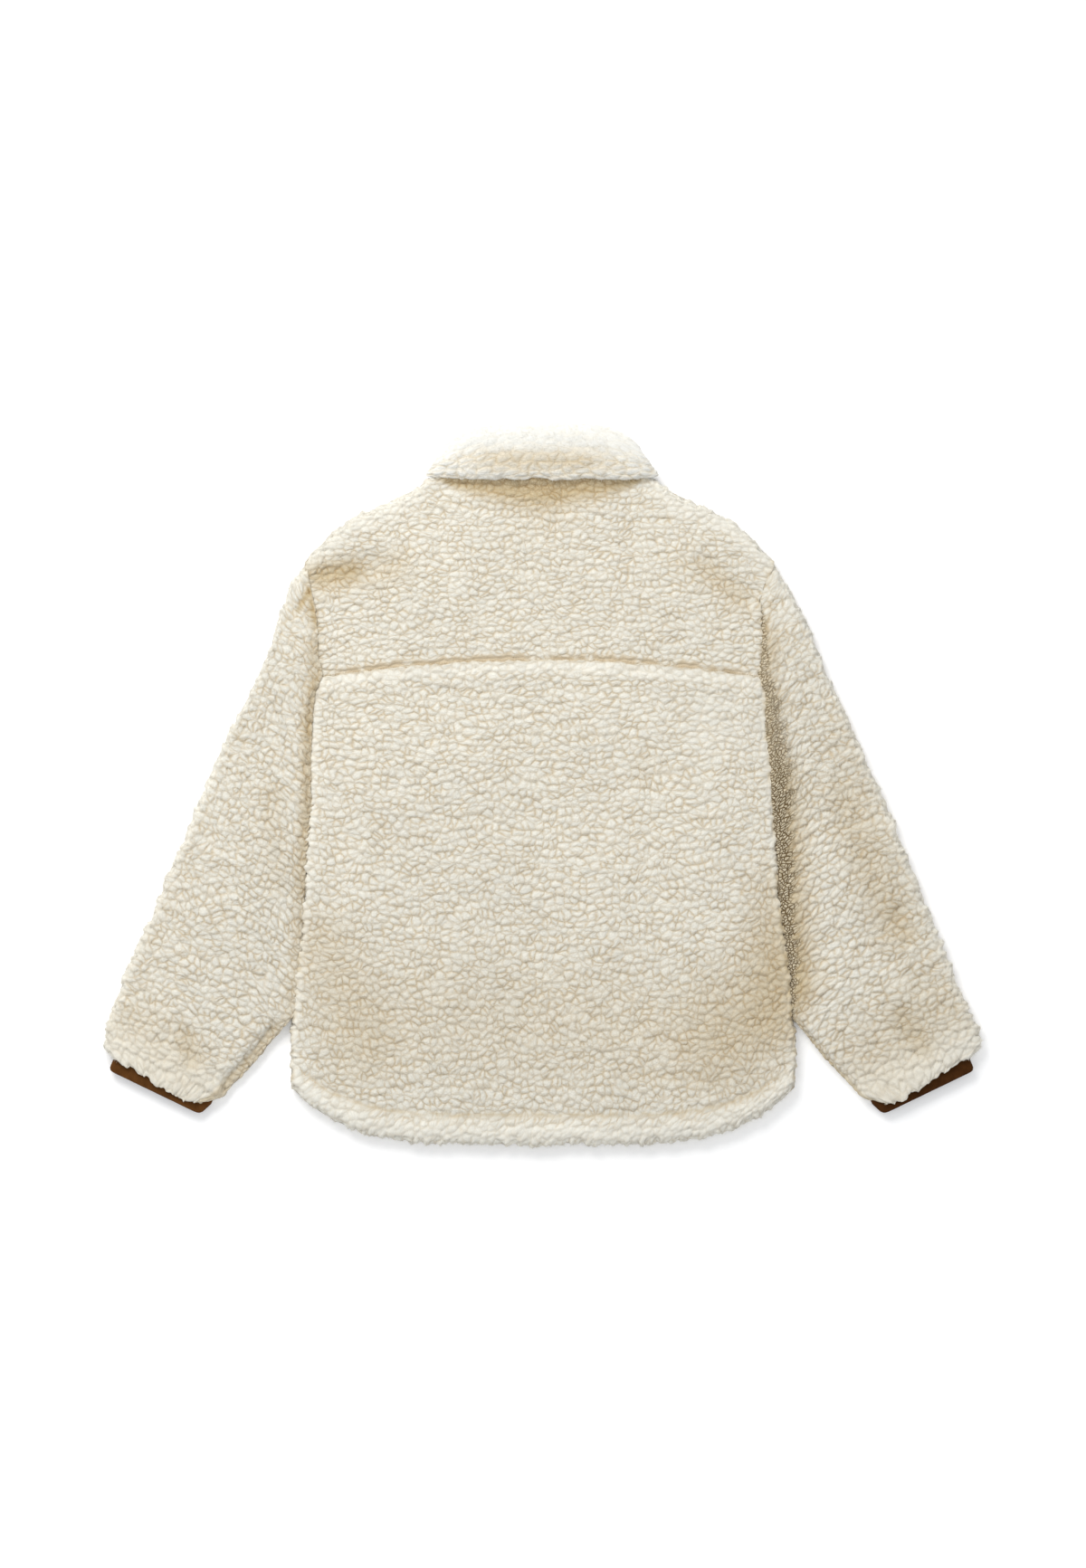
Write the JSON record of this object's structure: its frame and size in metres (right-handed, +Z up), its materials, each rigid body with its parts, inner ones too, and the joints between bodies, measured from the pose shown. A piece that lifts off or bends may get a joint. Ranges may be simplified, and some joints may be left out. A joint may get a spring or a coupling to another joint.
{
  "type": "sherpa fleece jacket",
  "caption": "Boxy cream sherpa fleece jacket with a turned-down collar, drop-shoulder sleeves, a back yoke, a curved hem and brown bound cuffs, laid flat with its back up.",
  "frame": {"origin": "on the surface that the jacket lies on, below the middle of its outline", "axes": "+X to the right seen from above, across the jacket; +Y from hem to collar; +Z up, out of the jacket's back"},
  "size_m": [0.965, 0.7961, 0.0299],
  "materials": {
    "fleece": "knit-backed sherpa pile in small curly clumps, matt with a soft fibre sheen",
    "binding": "close brown stretch weave",
    "stud": "aged, satin"
  },
  "bodies": {
    "root": {"back_body": "fleece", "back_yoke": "fleece", "front_left": "fleece", "front_right": "fleece", "sleeve_left": "fleece", "sleeve_right": "fleece", "collar": "fleece", "cuff_binding_left": "binding", "cuff_binding_right": "binding", "front_underlap": "binding", "press_stud_1": "stud", "press_stud_2": "stud", "press_stud_3": "stud", "press_stud_4": "stud", "press_stud_5": "stud", "press_stud_6": "stud"}
  },
  "joints": []
}
